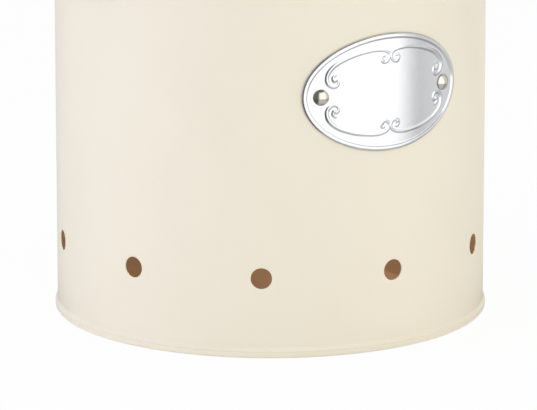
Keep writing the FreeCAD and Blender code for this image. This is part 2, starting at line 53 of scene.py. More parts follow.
def add_node(tree, kind, inputs=None, **settings):
    """Add a node, set its properties, and fill or link its inputs by name or number."""
    node = tree.nodes.new(kind)
    for name, value in settings.items():
        setattr(node, name, value)
    for name, value in (inputs or {}).items():
        if isinstance(value, bpy.types.NodeSocket):
            tree.links.new(value, node.inputs[name])
        else:
            node.inputs[name].default_value = value
    return node


def new_material(name):
    """An empty node material, its shader and the Object coordinates that its patterns read."""
    material = bpy.data.materials.new(name)
    material.use_nodes = True
    tree = material.node_tree
    shader = tree.nodes["Principled BSDF"]
    spot = add_node(tree, "ShaderNodeTexCoord").outputs["Object"]
    return material, tree, shader, spot


# Cream powder coat: sprayed and baked, satin, with the shallow orange peel that the melted powder leaves and
# a faint cloudiness where the coat is thicker.
cream_powder_coat, tree, shader, spot = new_material("cream_powder_coat")
cream = linear("#F1E8D2")
cream_shade = linear("#EDE3CC")
peel_size = 0.0016
cloud_size = 0.05
cloud = add_node(tree, "ShaderNodeTexNoise", {"Vector": spot, "Scale": 1 / cloud_size, "Detail": 3.0})
tint = add_node(tree, "ShaderNodeMix", {0: cloud.outputs[0], 6: cream_shade, 7: cream}, data_type="RGBA")
peel = add_node(tree, "ShaderNodeTexNoise", {"Vector": spot, "Scale": 1 / peel_size, "Detail": 2.0})
bump = add_node(tree, "ShaderNodeBump", {"Height": peel.outputs[0], "Strength": 0.12, "Distance": 0.0004})
satin = add_node(tree, "ShaderNodeMapRange", {"Value": cloud.outputs[0], "To Min": 0.34, "To Max": 0.44})
tree.links.new(tint.outputs[2], shader.inputs["Base Color"])
tree.links.new(satin.outputs[0], shader.inputs["Roughness"])
tree.links.new(bump.outputs[0], shader.inputs["Normal"])
shader.inputs["IOR"].default_value = 1.5

# Brown stoving lacquer: a thin baked coat, a little streaked and duller where it ran down the wall.
brown_lacquer, tree, shader, spot = new_material("brown_lacquer")
brown = linear("#8E6F50")
brown_dark = linear("#846547")
run_width = 0.012
run_stretch = 0.15
stretched = add_node(tree, "ShaderNodeMapping", {"Vector": spot, "Scale": (1.0, 1.0, run_stretch)})
runs = add_node(tree, "ShaderNodeTexNoise", {"Vector": stretched.outputs[0], "Scale": 1 / run_width,
                                             "Detail": 4.0})
tint = add_node(tree, "ShaderNodeMix", {0: runs.outputs[0], 6: brown_dark, 7: brown}, data_type="RGBA")
dull = add_node(tree, "ShaderNodeMapRange", {"Value": runs.outputs[0], "To Min": 0.48, "To Max": 0.36})
peel = add_node(tree, "ShaderNodeTexNoise", {"Vector": spot, "Scale": 1 / peel_size, "Detail": 2.0})
bump = add_node(tree, "ShaderNodeBump", {"Height": peel.outputs[0], "Strength": 0.12, "Distance": 0.0003})
tree.links.new(tint.outputs[2], shader.inputs["Base Color"])
tree.links.new(dull.outputs[0], shader.inputs["Roughness"])
tree.links.new(bump.outputs[0], shader.inputs["Normal"])
shader.inputs["IOR"].default_value = 1.5


arc_step = math.radians(12)
merge_distance = 1e-6


def draw_section(bm, corners, closed=False):
    """Draw a section on the +X side through corners of (across, up).

    A corner that adds a radius and a turn, 1 anticlockwise or -1 clockwise, is followed by that arc.
    """
    line = []
    for number, corner in enumerate(corners):
        start = Vector(corner[:2])
        line.append(start)
        if len(corner) > 2:
            radius, turn = corner[2:]
            chord = Vector(corners[(number + 1) % len(corners)][:2]) - start
            rise = math.sqrt(max(radius ** 2 - chord.length ** 2 / 4, 0))
            centre = start + chord / 2 + Vector((-chord.y, chord.x)).normalized() * rise * turn
            sweep = 2 * math.asin(min(chord.length / 2 / radius, 1)) * turn
            steps = max(2, math.ceil(abs(sweep) / arc_step))
            for step in range(1, steps):
                line.append(centre + Matrix.Rotation(sweep * step / steps, 2) @ (start - centre))
    dots = [bm.verts.new((point.x, 0, point.y)) for point in line]
    for first, last in zip(dots, dots[1:] + (dots[:1] if closed else [])):
        bm.edges.new((first, last))
    return dots


def spin_section(bm, steps, section=None):
    """Spin a section once round the upright axis, and close the seam and the poles."""
    dots = section or bm.verts[:]
    edges = {edge for dot in dots for edge in dot.link_edges}
    bmesh.ops.spin(bm, geom=list(dots) + list(edges), axis=(0, 0, 1), cent=(0, 0, 0), angle=math.tau,
                   steps=steps, use_merge=True)
    bmesh.ops.remove_doubles(bm, verts=bm.verts, dist=merge_distance)
    bmesh.ops.recalc_face_normals(bm, faces=bm.faces)


def make_piece(bm, name, body, slot, nodes, *materials, sharp=35):
    """Turn a bmesh into a finished piece that rides on a body and stands for CAD nodes."""
    mesh = bpy.data.meshes.new(name)
    bm.to_mesh(mesh)
    bm.free()
    for material in materials:
        mesh.materials.append(material)
    mesh.shade_smooth()
    mesh.set_sharp_from_angle(angle=math.radians(sharp))
    piece = bpy.data.objects.new(name, mesh)
    bpy.context.scene.collection.objects.link(piece)
    if nodes:
        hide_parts(*nodes)
    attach(piece, body)
    return piece


sharp_corner = math.radians(60)


def add_gauge(piece, gauge, edge_round, side=-1):
    """Give a sheet its thickness, inwards or to both sides, its next material inside, and broken edges."""
    sheet = piece.modifiers.new("gauge", "SOLIDIFY")
    sheet.thickness = gauge
    sheet.offset = side
    sheet.use_even_offset = True
    sheet.material_offset = 1 if len(piece.data.materials) > 1 else 0
    corner = piece.modifiers.new("broken_edges", "BEVEL")
    corner.width = edge_round
    corner.segments = 2
    corner.limit_method = "ANGLE"
    corner.angle_limit = sharp_corner


wall_radius = 0.120
wall_gauge = 0.0006
wall_edge = 0.00015
mouth_height = 0.256
curl_radius = 0.0019
vent_count = 10
vent_radius = 0.0058
vent_height = 0.0443
vent_turn = math.radians(1.8)
wall_columns = 24
wall_steps = vent_count * wall_columns
cell = math.tau * wall_radius / wall_steps
rows_below, rows_above = 13, 66
vent_block = 4

# One tenth of the wall is laid out flat with its vent, rolled, and repeated round the axis.
bm = bmesh.new()
bmesh.ops.create_grid(bm, x_segments=wall_columns, y_segments=rows_below + rows_above, size=0.5)
bmesh.ops.scale(bm, vec=(wall_columns * cell, (rows_below + rows_above) * cell, 1), verts=bm.verts)
bmesh.ops.translate(bm, vec=(0, (rows_above - rows_below) / 2 * cell, 0), verts=bm.verts)
block = [face for face in bm.faces if max(map(abs, face.calc_center_median())) < vent_block * cell]
bmesh.ops.delete(bm, geom=block, context="FACES")
rim = [edge for edge in bm.edges
       if edge.is_boundary and all(max(map(abs, dot.co)) < (vent_block + 0.5) * cell for dot in edge.verts)]
fresh = bmesh.ops.extrude_edge_only(bm, edges=rim)["geom"]
punched = {part for part in fresh if isinstance(part, bmesh.types.BMVert)}
for dot in punched:
    dot.co = dot.co.normalized() * vent_radius
spokes = [edge for edge in bm.edges if len(punched.intersection(edge.verts)) == 1]
bmesh.ops.subdivide_edges(bm, edges=spokes, cuts=2)
for dot in bm.verts:
    turn = vent_turn + dot.co.x / wall_radius
    dot.co = (wall_radius * math.sin(turn), -wall_radius * math.cos(turn), vent_height + dot.co.y)
bmesh.ops.spin(bm, geom=bm.verts[:] + bm.edges[:] + bm.faces[:], axis=(0, 0, 1), cent=(0, 0, 0),
               angle=math.tau * (vent_count - 1) / vent_count, steps=vent_count - 1, use_duplicate=True)
curl = draw_section(bm, [
    (wall_radius, vent_height + rows_above * cell),
    (wall_radius, mouth_height - curl_radius, curl_radius, 1),
    (wall_radius - curl_radius, mouth_height, curl_radius, 1),
    (wall_radius - 2 * curl_radius, mouth_height - curl_radius, curl_radius, 1),
    (wall_radius - curl_radius, mouth_height - 2 * curl_radius),
])
bmesh.ops.rotate(bm, cent=(0, 0, 0), matrix=Matrix.Rotation(vent_turn, 3, "Z"), verts=curl)
spin_section(bm, wall_steps, curl)

# The upright seam shows outside as a fine groove, up to where the mouth is curled.
seam_turn = math.radians(163.8)
seam_low, seam_high = 0.009, 0.247
seam_width = 0.006
seam_depth = 0.0009
seam_lap = 0.00005
seam_edge = 0.0003
groove_half = 0.0004
groove_depth = 0.0003
groove_top = 0.252
in_line = 0.9999999
seam_line = Vector((math.sin(seam_turn), -math.cos(seam_turn), 0))


def on_seam(dot):
    """Whether a vertex of the wall lies on the line of the seam."""
    return dot.co.xy.normalized().dot(seam_line.xy) > in_line and dot.co.z < groove_top


joint = [edge for edge in bm.edges if all(map(on_seam, edge.verts))]
bmesh.ops.bevel(bm, geom=joint, offset=groove_half, affect="EDGES", segments=2, profile=0.5, material=-1)
for dot in filter(on_seam, bm.verts):
    dot.co -= seam_line * groove_depth
rolled_wall = make_piece(bm, "rolled_wall", "tin", "cream_enamel", ["body_shell"],
                         cream_powder_coat, brown_lacquer)
add_gauge(rolled_wall, wall_gauge, wall_edge)

# The folded edges of the seam lie flat on the inside of the wall.
seam_inset = wall_radius - wall_gauge - seam_depth / 2 + seam_lap
bm = bmesh.new()
bmesh.ops.create_cube(bm, size=1)
bmesh.ops.scale(bm, vec=(seam_width, seam_depth, seam_high - seam_low), verts=bm.verts)
bmesh.ops.bevel(bm, geom=bm.edges[:], offset=seam_edge, affect="EDGES", segments=3, profile=0.5, material=-1)
bmesh.ops.translate(bm, vec=(0, -seam_inset, (seam_low + seam_high) / 2), verts=bm.verts)
bmesh.ops.rotate(bm, cent=(0, 0, 0), matrix=Matrix.Rotation(seam_turn, 3, "Z"), verts=bm.verts)
make_piece(bm, "seam_fold", "tin", "cream_enamel", [], brown_lacquer)


# The base
# A pressed steel pan with its rim rolled over the wall's lower edge, which shows as a slim bead, and a raised
# floor with a stiffening rib pressed round it. It is coated with the wall, cream below and lacquered inside.

base_recess = 0.005
base_corner = 0.0012
rib_middle = 0.0815
rib_rise = 0.0007
rib_flat = 0.0020
rib_foot = 0.0035
foot_in = 0.1187
foot_round = 0.0004
channel_in = foot_in + wall_gauge
channel_gap = 0.00002
channel_out = wall_radius + channel_gap
bead_out = 0.1213
bead_foot = 0.0019
bead_waist = 0.0036
bead_groove = 0.00028
bead_groove_half = 0.0003
bead_shoulder = 0.0016
bead_top = 0.0046
bead_top_out = 0.12082
coat_fillet = 0.0021
coat_top = 0.0062
facing_up = 0.3
panel = [(0, 0), (rib_middle - rib_foot, 0), (rib_middle - rib_flat, rib_rise),
         (rib_middle + rib_flat, rib_rise), (rib_middle + rib_foot, 0)]
bm = bmesh.new()
draw_section(bm, [(across, base_recess + up) for across, up in panel] + [
    (foot_in - base_corner, base_recess, base_corner, -1),
    (foot_in, base_recess - base_corner),
    (foot_in, foot_round, foot_round, 1),
    (foot_in + foot_round, 0),
    (bead_out - bead_foot, 0, bead_foot, 1),
    (bead_out, bead_foot),
    (bead_out, bead_waist - bead_groove_half),
    (bead_out - bead_groove, bead_waist),
    (bead_out, bead_waist + bead_groove_half, bead_shoulder, 1),
    (bead_top_out, bead_top, coat_fillet, -1),
    (channel_out, coat_top),
    (channel_out, wall_gauge),
    (channel_in, wall_gauge),
    (channel_in, base_recess - base_corner, base_corner + wall_gauge, 1),
    (foot_in - base_corner, base_recess + wall_gauge),
] + [(across, base_recess + wall_gauge + up) for across, up in reversed(panel)])
spin_section(bm, wall_steps)
for face in bm.faces:
    if face.normal.z > facing_up and face.calc_center_median().xy.length < foot_in + wall_gauge / 2:
        face.material_index = 1
make_piece(bm, "pressed_base", "tin", "cream_enamel", ["base_pan"], cream_powder_coat, brown_lacquer)


# The label
# An oval of bright aluminium, stamped with a raised border and four scrolls, and bent to the wall. Its middle
# is left plain.

# Bright rolled aluminium: close to a mirror, with a faint bloom, and not quite flat where the rolls and the
# stamping moved it, so that its reflections waver.
bright_aluminium, tree, shader, spot = new_material("bright_aluminium")
bloom_size = 0.006
wave_size = 0.005
bloom = add_node(tree, "ShaderNodeTexNoise", {"Vector": spot, "Scale": 1 / bloom_size, "Detail": 4.0})
tint = add_node(tree, "ShaderNodeMix", {0: bloom.outputs[0], 6: linear("#E0E2E5"), 7: linear("#E9E9E9")},
                data_type="RGBA")
shine = add_node(tree, "ShaderNodeMapRange", {"Value": bloom.outputs[0], "To Min": 0.14, "To Max": 0.24})
wave = add_node(tree, "ShaderNodeTexNoise", {"Vector": spot, "Scale": 1 / wave_size, "Detail": 1.0})
bump = add_node(tree, "ShaderNodeBump", {"Height": wave.outputs[0], "Strength": 1.0, "Distance": 0.00004})
tree.links.new(tint.outputs[2], shader.inputs["Base Color"])
tree.links.new(shine.outputs[0], shader.inputs["Roughness"])
tree.links.new(bump.outputs[0], shader.inputs["Normal"])
shader.inputs["Metallic"].default_value = 1.0

label_height = 0.1434
label_half_width = 0.049
label_half_height = 0.0322
label_face = 0.12055
label_gauge = 0.0004
label_lip = 0.0001
label_lip_width = 0.0003
label_columns, label_rows = 270, 170
border_width = 0.0030
border_flank = 0.0009
border_swell = 0.8
border_slope = 0.0008
border_rise = 0.0008
scroll_rise = 0.00055
scroll_lift = 0.5
scroll_shift = 0.8
# A scroll of the upper right quarter: millimetres along and up the wall from the middle, and its half width.
scroll = [
    (3.6, 19.4, 0.5), (4.7, 19.6, 0.6), (5.6, 18.4, 0.7), (5.2, 16.9, 0.8), (3.7, 16.0, 0.8),
    (2.0, 16.4, 0.7), (0.8, 17.8, 0.7), (0.6, 19.5, 0.7), (1.3, 21.1, 0.7), (3.7, 22.4, 0.7),
    (7.7, 23.0, 0.8), (12.7, 22.8, 0.8), (20.7, 21.5, 1.0), (28.3, 19.0, 1.2), (33.1, 16.4, 1.3),
    (36.4, 13.0, 1.3), (37.4, 9.5, 1.3), (36.8, 7.0, 1.2), (35.2, 5.5, 1.1), (33.4, 4.9, 1.0),
    (31.6, 5.6, 0.9), (30.8, 7.3, 0.8), (31.4, 8.8, 0.8), (32.8, 9.2, 0.7),
]
leaf = [(33.6, 8.4, 0.9), (34.0, 9.6, 1.1), (33.4, 10.9, 0.9), (32.2, 11.7, 0.5)]
beads = [(4.9, 17.0, 1.2), (33.2, 8.5, 1.5)]
path_steps = 12


def smooth_path(knots, steps):
    """Points along a smooth curve through the knots, as rows."""
    knots = np.array([knots[0], *knots, knots[-1]])
    before, start, stop, after = knots[:-3, None], knots[1:-2, None], knots[2:-1, None], knots[3:, None]
    share = np.linspace(0, 1, steps, endpoint=False)[None, :, None]
    curve = (2 * start + (stop - before) * share
             + (2 * before - 5 * start + 4 * stop - after) * share ** 2
             + (3 * start - before - 3 * stop + after) * share ** 3) / 2
    return curve.reshape(-1, knots.shape[1])


def mound(distance, half_width):
    """A rounded ridge: 1 on its line and 0 from its half width on."""
    return np.clip(1 - (distance / half_width) ** 2, 0, 1) ** 1.5


bm = bmesh.new()
bmesh.ops.create_grid(bm, x_segments=label_columns, y_segments=label_rows, size=1)
square = np.array([dot.co for dot in bm.verts])
across = label_half_width * square[:, 0] * np.sqrt(1 - square[:, 1] ** 2 / 2)
up = label_half_height * square[:, 1] * np.sqrt(1 - square[:, 0] ** 2 / 2)
turns = np.arcsin(across / label_face)
reach = np.hypot(across / label_half_width, up / label_half_height)
steepness = np.hypot(across / label_half_width ** 2, up / label_half_height ** 2) / np.maximum(reach, 1e-6)
from_edge = (1 - reach) / np.maximum(steepness, 1e-6)
past_border = np.clip((from_edge - border_width + border_slope) / border_slope, 0, 1)
relief = border_rise * np.clip(from_edge / border_flank, 0, 1) ** border_swell
relief *= 1 - past_border ** 2 * (3 - 2 * past_border)
along = np.abs(turns * label_face * 1000 - scroll_shift)
height = np.abs(up * 1000 - scroll_lift)
ridge = np.zeros(len(square))
for right, above, half in np.vstack([smooth_path(scroll, path_steps), smooth_path(leaf, path_steps), beads]):
    ridge = np.maximum(ridge, half * mound(np.hypot(along - right, height - above), half))
radii = label_face + relief + scroll_rise * ridge
radii -= label_lip * np.clip(1 - from_edge / label_lip_width, 0, 1)
for dot, turn, radius, level in zip(bm.verts, turns, radii, up):
    dot.co = (radius * math.sin(turn), -radius * math.cos(turn), label_height + level)
bmesh.ops.recalc_face_normals(bm, faces=bm.faces)
stamped_label = make_piece(bm, "stamped_label", "tin", "bright_label", ["label_plate"], bright_aluminium,
                           sharp=80)
sheet = stamped_label.modifiers.new("gauge", "SOLIDIFY")
sheet.thickness = label_gauge
sheet.offset = -1


# The label's rivets
# Two steel rivets, nickel plated, go through the label and the wall, with domed heads outside and flat tails
# inside.

# Bright nickel plate: a warm mirror over turned or drawn steel, with slight handling bloom and drawing marks.
nickel_plate, tree, shader, spot = new_material("nickel_plate")
rub_size = 0.006
draw_mark_size = 0.0008
rub = add_node(tree, "ShaderNodeTexNoise", {"Vector": spot, "Scale": 1 / rub_size, "Detail": 5.0})
tint = add_node(tree, "ShaderNodeMix", {0: rub.outputs[0], 6: linear("#D6D2C8"), 7: linear("#E3E0D7")},
                data_type="RGBA")
shine = add_node(tree, "ShaderNodeMapRange", {"Value": rub.outputs[0], "To Min": 0.10, "To Max": 0.22})
marks = add_node(tree, "ShaderNodeTexNoise", {"Vector": spot, "Scale": 1 / draw_mark_size, "Detail": 2.0})
bump = add_node(tree, "ShaderNodeBump", {"Height": marks.outputs[0], "Strength": 0.3, "Distance": 0.00002})
tree.links.new(tint.outputs[2], shader.inputs["Base Color"])
tree.links.new(shine.outputs[0], shader.inputs["Roughness"])
tree.links.new(bump.outputs[0], shader.inputs["Normal"])
shader.inputs["Metallic"].default_value = 1.0

rivet_gap = 0.0001
rivet_edge = 0.0004
rivet_steps = 48


def set_rivet(node, outward, height, face, head_radius, head_height, shank_radius, tail_radius, tail_height):
    """Turn a rivet, and set it through the wall with its head on a face at that distance from the axis."""
    tail_end = wall_radius - wall_gauge - rivet_gap - tail_height
    seat = face + rivet_gap - tail_end
    dome = head_height - rivet_edge
    bm = bmesh.new()
    draw_section(bm, [
        (0, 0),
        (tail_radius - rivet_edge, 0, rivet_edge, 1),
        (tail_radius, rivet_edge),
        (tail_radius, tail_height),
        (shank_radius, tail_height),
        (shank_radius, seat),
        (head_radius - rivet_edge, seat, rivet_edge, 1),
        (head_radius, seat + rivet_edge, (head_radius ** 2 + dome ** 2) / (2 * dome), 1),
        (0, seat + head_height),
    ])
    spin_section(bm, rivet_steps)
    bmesh.ops.rotate(bm, cent=(0, 0, 0), matrix=outward.to_track_quat("Z", "Y").to_matrix(), verts=bm.verts)
    bmesh.ops.translate(bm, vec=outward * tail_end + Vector((0, 0, height)), verts=bm.verts)
    make_piece(bm, f"set_{node}", "tin", "nickel_plate", [node], nickel_plate)


label_rivet_reach = 0.0389
label_rivet_turn = math.asin(label_rivet_reach / wall_radius)
for end, turn in (("left", -label_rivet_turn), ("right", label_rivet_turn)):
    set_rivet(f"label_rivet_{end}", Vector((math.sin(turn), -math.cos(turn), 0)), label_height, label_face,
              head_radius=0.0044, head_height=0.0026, shank_radius=0.0020, tail_radius=0.0032,
              tail_height=0.0012)


# The clips
# On each side a strap of nickel plated steel is folded round the ring's top bar, its two ends laid together
# on the wall and held by two rivets.

ring_height = 0.232
wire_radius = 0.0025
strap_gauge = 0.001
strap_edge = 0.0002
strap_width = 0.022
strap_length = 0.022
strap_corner = 0.004
strap_columns = 22
strap_gap = 0.00005
ring_stand = 0.00363
ring_play = 0.00007
clip_rivet_drops = {"upper": 0.0095, "lower": 0.017}
strap_back = wall_radius + strap_gap + strap_gauge / 2
ring_reach = wall_radius + ring_stand
fold_radius = wire_radius + ring_play + strap_gauge / 2
fold_lean = math.asin((ring_reach - strap_back - strap_gauge) / fold_radius)
strap_front = ring_reach - fold_radius * math.sin(fold_lean)
strap_foot = ring_height - strap_length
sides = {"right": 0.0, "left": math.pi}

for side, half_turn in sides.items():
    bm = bmesh.new()
    draw_section(bm, [
        (strap_front, strap_foot),
        (strap_front, strap_foot + strap_corner / 2),
        (strap_front, strap_foot + strap_corner),
        (strap_front, ring_height - fold_radius * math.cos(fold_lean), fold_radius, 1),
        (ring_reach + fold_radius, ring_height, fold_radius, 1),
        (ring_reach - fold_radius, ring_height),
        (strap_back, strap_foot + strap_corner),
        (strap_back, strap_foot + strap_corner / 2),
        (strap_back, strap_foot),
    ])
    bmesh.ops.translate(bm, vec=(0, -strap_width / 2, 0), verts=bm.verts)
    bmesh.ops.spin(bm, geom=bm.verts[:] + bm.edges[:], axis=(0, 0, 1), cent=(0, 0, 0), angle=0,
                   steps=strap_columns, dvec=(0, strap_width / strap_columns, 0))
    for dot in bm.verts:
        over = max(abs(dot.co.y) - strap_width / 2 + strap_corner, 0)
        dot.co.z = max(dot.co.z, strap_foot + strap_corner - math.sqrt(max(strap_corner ** 2 - over ** 2, 0)))
        flat = min(max((ring_height - wire_radius - dot.co.z) / wire_radius, 0), 1)
        dot.co.x -= flat * (wall_radius - math.sqrt(wall_radius ** 2 - dot.co.y ** 2))
    bmesh.ops.recalc_face_normals(bm, faces=bm.faces)
    bmesh.ops.rotate(bm, cent=(0, 0, 0), matrix=Matrix.Rotation(half_turn, 3, "Z"), verts=bm.verts)
    strap = make_piece(bm, f"{side}_strap", "tin", "nickel_plate", [f"{side}_clip"], nickel_plate)
    add_gauge(strap, strap_gauge, strap_edge, side=0)
    for end, drop in clip_rivet_drops.items():
        set_rivet(f"{side}_clip_rivet_{end}", Vector((math.cos(half_turn), math.sin(half_turn), 0)),
                  ring_height - drop, wall_radius + strap_gap + 2 * strap_gauge,
                  head_radius=0.0030, head_height=0.0017, shank_radius=0.0016, tail_radius=0.0026,
                  tail_height=0.0010)


# The rings
# Drop handles of round steel wire, bent to a rounded oblong, welded shut inside the clip and nickel plated.

ring_half = 0.033
ring_drop = 0.036
top_bend = 0.006
bottom_bend = 0.015
wire_sides = 24
bend_steps = 12


def draw_out(bm, loop, vec):
    """Draw a loop of edges straight out along a vector, and return its new end."""
    fresh = bmesh.ops.extrude_edge_only(bm, edges=loop)["geom"]
    dots = {part for part in fresh if isinstance(part, bmesh.types.BMVert)}
    bmesh.ops.translate(bm, vec=vec, verts=list(dots))
    return [part for part in fresh if isinstance(part, bmesh.types.BMEdge) and dots.issuperset(part.verts)]


def bend_round(bm, loop, centre):
    """Bend a loop of edges a quarter turn about a centre in the ring's plane, and return its new end."""
    fresh = bmesh.ops.spin(bm, geom=loop, cent=(ring_reach, *centre), axis=(1, 0, 0), angle=-math.pi / 2,
                           steps=bend_steps)["geom_last"]
    return [part for part in fresh if isinstance(part, bmesh.types.BMEdge)]


for side, half_turn in sides.items():
    bm = bmesh.new()
    bmesh.ops.create_circle(bm, segments=wire_sides, radius=wire_radius)
    bmesh.ops.rotate(bm, cent=(0, 0, 0), matrix=Matrix.Rotation(math.pi / 2, 3, "X"), verts=bm.verts)
    bmesh.ops.translate(bm, vec=(ring_reach, -ring_half + top_bend, ring_height), verts=bm.verts)
    wire = draw_out(bm, bm.edges[:], (0, 2 * (ring_half - top_bend), 0))
    wire = bend_round(bm, wire, (ring_half - top_bend, ring_height - top_bend))
    wire = draw_out(bm, wire, (0, 0, top_bend + bottom_bend - ring_drop))
    wire = bend_round(bm, wire, (ring_half - bottom_bend, ring_height - ring_drop + bottom_bend))
    wire = draw_out(bm, wire, (0, 2 * (bottom_bend - ring_half), 0))
    wire = bend_round(bm, wire, (bottom_bend - ring_half, ring_height - ring_drop + bottom_bend))
    wire = draw_out(bm, wire, (0, 0, ring_drop - top_bend - bottom_bend))
    bend_round(bm, wire, (top_bend - ring_half, ring_height - top_bend))
    bmesh.ops.remove_doubles(bm, verts=bm.verts, dist=merge_distance)
    bmesh.ops.recalc_face_normals(bm, faces=bm.faces)
    bmesh.ops.rotate(bm, cent=(0, 0, 0), matrix=Matrix.Rotation(half_turn, 3, "Z"), verts=bm.verts)
    make_piece(bm, f"{side}_wire", f"{side}_handle", "nickel_plate", [f"{side}_ring"], nickel_plate)


# The lid
# A pressed steel lid that slips over the wall: a slightly domed top, a step, a ledge that rests on the mouth,
# and a skirt that ends in an outward curl. It is coated like the wall.

lid_outside = 0.1210
ledge_height = 0.25685
ledge_in = 0.1040
step_in = 0.0980
step_top = 0.26185
crown_height = 0.26785
step_round = 0.00305
dome_round = (step_in ** 2 + (crown_height - step_top) ** 2) / (2 * (crown_height - step_top))
shoulder = 0.0029
lid_curl = 0.00089
lid_curl_height = 0.24235
bm = bmesh.new()
draw_section(bm, [
    (lid_outside + lid_curl, lid_curl_height + lid_curl, lid_curl, -1),
    (lid_outside + 2 * lid_curl, lid_curl_height, lid_curl, -1),
    (lid_outside + lid_curl, lid_curl_height - lid_curl, lid_curl, -1),
    (lid_outside, lid_curl_height),
    (lid_outside, ledge_height - shoulder, shoulder, 1),
    (lid_outside - shoulder, ledge_height),
    (ledge_in, ledge_height, step_round, -1),
    ((ledge_in + step_in) / 2, (ledge_height + step_top) / 2, step_round, 1),
    (step_in, step_top, dome_round, 1),
    (0, crown_height),
])
spin_section(bm, wall_steps)
for face in bm.faces:
    if face.calc_center_median().z < lid_curl_height + lid_curl:
        face.material_index = 2
pressed_lid = make_piece(bm, "pressed_lid", "lid", "cream_enamel", ["lid_shell"],
                         cream_powder_coat, brown_lacquer, cream_powder_coat, cream_powder_coat)
add_gauge(pressed_lid, wall_gauge, wall_edge)


# The knob
# Turned from bar and nickel plated: a foot, a waist and a domed head. A zinc plated screw and washer pull it
# onto the lid from inside.

seat_gap = 0.00006
knob_seat = crown_height + seat_gap
knob_foot = 0.0090
knob_foot_edge = 0.0004
knob_foot_height = 0.0025
waist_round = 0.0065
neck_radius = 0.0120
neck_rise = 0.011
neck_height = knob_seat + neck_rise
knob_edge = 0.002
knob_radius = 0.017
knob_crown = 0.010
knob_steps = 96
bm = bmesh.new()
draw_section(bm, [
    (0, knob_seat),
    (knob_foot - knob_foot_edge, knob_seat, knob_foot_edge, 1),
    (knob_foot, knob_seat + knob_foot_edge),
    (knob_foot, knob_seat + knob_foot_height, waist_round, -1),
    (neck_radius, neck_height),
    (knob_radius - knob_edge, neck_height, knob_edge, 1),
    (knob_radius, neck_height + knob_edge, (knob_radius ** 2 + knob_crown ** 2) / (2 * knob_crown), 1),
    (0, neck_height + knob_edge + knob_crown),
])
spin_section(bm, knob_steps)
make_piece(bm, "turned_knob", "lid", "nickel_plate", ["lid_knob"], nickel_plate)

# Bright zinc plate: thinner and duller than nickel, with the faint blue and straw tints of its passivation.
zinc_plate, tree, shader, spot = new_material("zinc_plate")
passive_size = 0.003
passive = add_node(tree, "ShaderNodeTexNoise", {"Vector": spot, "Scale": 1 / passive_size, "Detail": 5.0})
tint = add_node(tree, "ShaderNodeMix", {0: passive.outputs[0], 6: linear("#B1B9C1"), 7: linear("#C2BDB0")},
                data_type="RGBA")
shine = add_node(tree, "ShaderNodeMapRange", {"Value": passive.outputs[0], "To Min": 0.3, "To Max": 0.45})
marks = add_node(tree, "ShaderNodeTexNoise", {"Vector": spot, "Scale": 1 / draw_mark_size, "Detail": 2.0})
bump = add_node(tree, "ShaderNodeBump", {"Height": marks.outputs[0], "Strength": 0.5, "Distance": 0.00003})
tree.links.new(tint.outputs[2], shader.inputs["Base Color"])
tree.links.new(shine.outputs[0], shader.inputs["Roughness"])
tree.links.new(bump.outputs[0], shader.inputs["Normal"])
shader.inputs["Metallic"].default_value = 1.0

washer_radius = 0.0080
washer_hole = 0.0021
washer_gauge = 0.001
washer_edge = 0.0003
washer_steps = 64
washer_top = crown_height - wall_gauge - seat_gap
washer_under = washer_top - washer_gauge
bm = bmesh.new()
draw_section(bm, [
    (washer_hole, washer_under),
    (washer_radius - washer_edge, washer_under, washer_edge, 1),
    (washer_radius, washer_under + washer_edge),
    (washer_radius, washer_top),
    (washer_hole, washer_top),
], closed=True)
spin_section(bm, washer_steps)
make_piece(bm, "plain_washer", "lid", "zinc_steel", ["knob_washer"], zinc_plate)

screw_head = 0.0040
screw_round = 0.0014
screw_shank = 0.0020
screw_head_height = 0.0024
screw_reach = 0.012
screw_steps = 48
screw_end = washer_under - screw_head_height
screw_tip = knob_seat + screw_reach
slot_half = 0.0006
slot_depth = 0.0010
facing_down = -0.1
bm = bmesh.new()
draw_section(bm, [
    (0, screw_end),
    (screw_head - screw_round, screw_end, screw_round, 1),
    (screw_head, screw_end + screw_round),
    (screw_head, washer_under),
    (screw_shank, washer_under),
    (screw_shank, screw_tip),
    (0, screw_tip),
])
spin_section(bm, screw_steps)
for side in (-slot_half, slot_half):
    bmesh.ops.bisect_plane(bm, geom=bm.verts[:] + bm.edges[:] + bm.faces[:], plane_co=(side, 0, 0),
                           plane_no=(1, 0, 0), dist=1e-7)
slot_floor = [face for face in bm.faces
              if face.normal.z < facing_down and abs(face.calc_center_median().x) < slot_half]
fresh = bmesh.ops.extrude_face_region(bm, geom=slot_floor)["geom"]
bmesh.ops.translate(bm, vec=(0, 0, slot_depth),
                    verts=[part for part in fresh if isinstance(part, bmesh.types.BMVert)])
bmesh.ops.delete(bm, geom=slot_floor, context="FACES")
bmesh.ops.recalc_face_normals(bm, faces=bm.faces)
make_piece(bm, "slotted_screw", "lid", "zinc_steel", ["knob_screw"], zinc_plate)


# The studio
# A white floor that runs out of sight, a white surround, cards for the metal to mirror, soft lamps, and the
# camera at the photograph's place.

white = linear("#FFFFFF")
scene = bpy.context.scene
scene.view_settings.view_transform = "Standard"
view_turn = math.radians(-31.90)
toward_camera = Vector((math.sin(view_turn), -math.cos(view_turn), 0))
camera_right = Vector((math.cos(view_turn), math.sin(view_turn), 0))


def stage_piece(bm, name, material):
    """A floor or card of the studio."""
    mesh = bpy.data.meshes.new(name)
    bm.to_mesh(mesh)
    bm.free()
    mesh.materials.append(material)
    thing = bpy.data.objects.new(name, mesh)
    scene.collection.objects.link(thing)
    return thing


